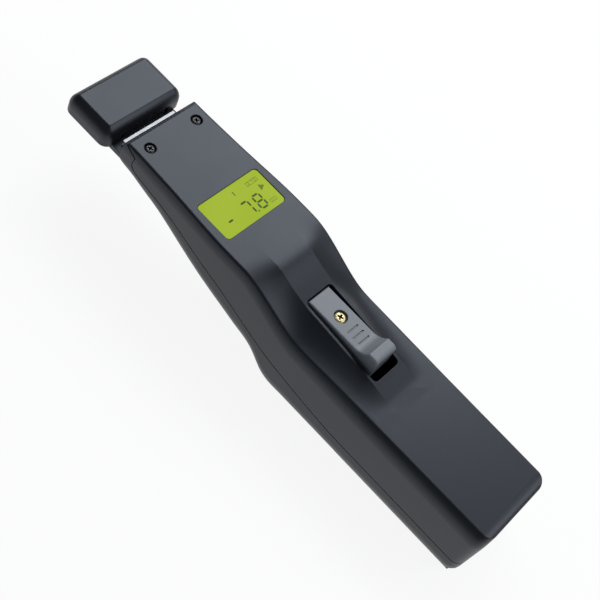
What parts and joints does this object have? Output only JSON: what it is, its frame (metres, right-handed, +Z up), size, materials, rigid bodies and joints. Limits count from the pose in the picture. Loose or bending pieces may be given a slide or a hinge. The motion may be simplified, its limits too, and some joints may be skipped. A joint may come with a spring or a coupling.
{
  "type": "optical fiber identifier",
  "caption": "Handheld optical fiber identifier with a cranked black plastic housing, a small display, a thumb slide with finger lip and a clamp slot under its square head.",
  "frame": {"origin": "centre of the bounding box on the plane of the flat underside", "axes": "+X across the tool, +Y along it towards the head, +Z up from the underside to the face"},
  "size_m": [0.0378, 0.1994, 0.0416],
  "materials": {
    "housing_plastic": "fine textured matte",
    "slide_plastic": "satin",
    "inner_plastic": "matte",
    "black_plastic": "matte",
    "brass": "satin",
    "steel": "satin",
    "black_steel": "satin",
    "jaw_metal": "satin",
    "dark_window": "gloss",
    "display_glass": "gloss",
    "backlight_plastic": "satin",
    "board_green": "satin",
    "strip_rubber": "matte",
    "pad_foam": "matte",
    "battery_jacket": "satin"
  },
  "bodies": {
    "casing": {"front_shell": "housing_plastic", "rear_shell": "housing_plastic", "battery": "battery_jacket", "battery_clip": "black_plastic", "rod_bush": "brass", "return_spring": "steel", "head_cap": "housing_plastic", "detector_window": "dark_window", "detectors": "black_plastic", "detector_board": "board_green", "lcd_lens": "display_glass", "lcd_glass": "display_glass", "lcd_backlight": "backlight_plastic", "contact_strips": "strip_rubber", "main_board": "board_green", "controller_chip": "black_plastic", "trigger_switch": "black_plastic", "neck_screws": "black_steel", "back_screws": "black_steel", "head_screws": "black_steel", "board_screws": "steel"},
    "slide": {"slide_button": "slide_plastic", "slide_screw": "brass", "slide_carriage": "inner_plastic", "push_rod": "steel", "clamp_jaw": "jaw_metal"},
    "door": {"battery_door": "housing_plastic", "battery_pad": "pad_foam"}
  },
  "joints": [
    {"name": "thumb_slide", "type": "slide", "parent": "casing", "child": "slide", "axis": [0, -1, 0], "range_m": [0, 0.003], "stiffness_N_per_m": 600, "springref_m": -0.003, "deforming": ["return_spring"]},
    {"name": "battery_door_slide", "type": "slide", "parent": "casing", "child": "door", "axis": [0, -1, 0], "range_m": [0, 0.055]}
  ]
}
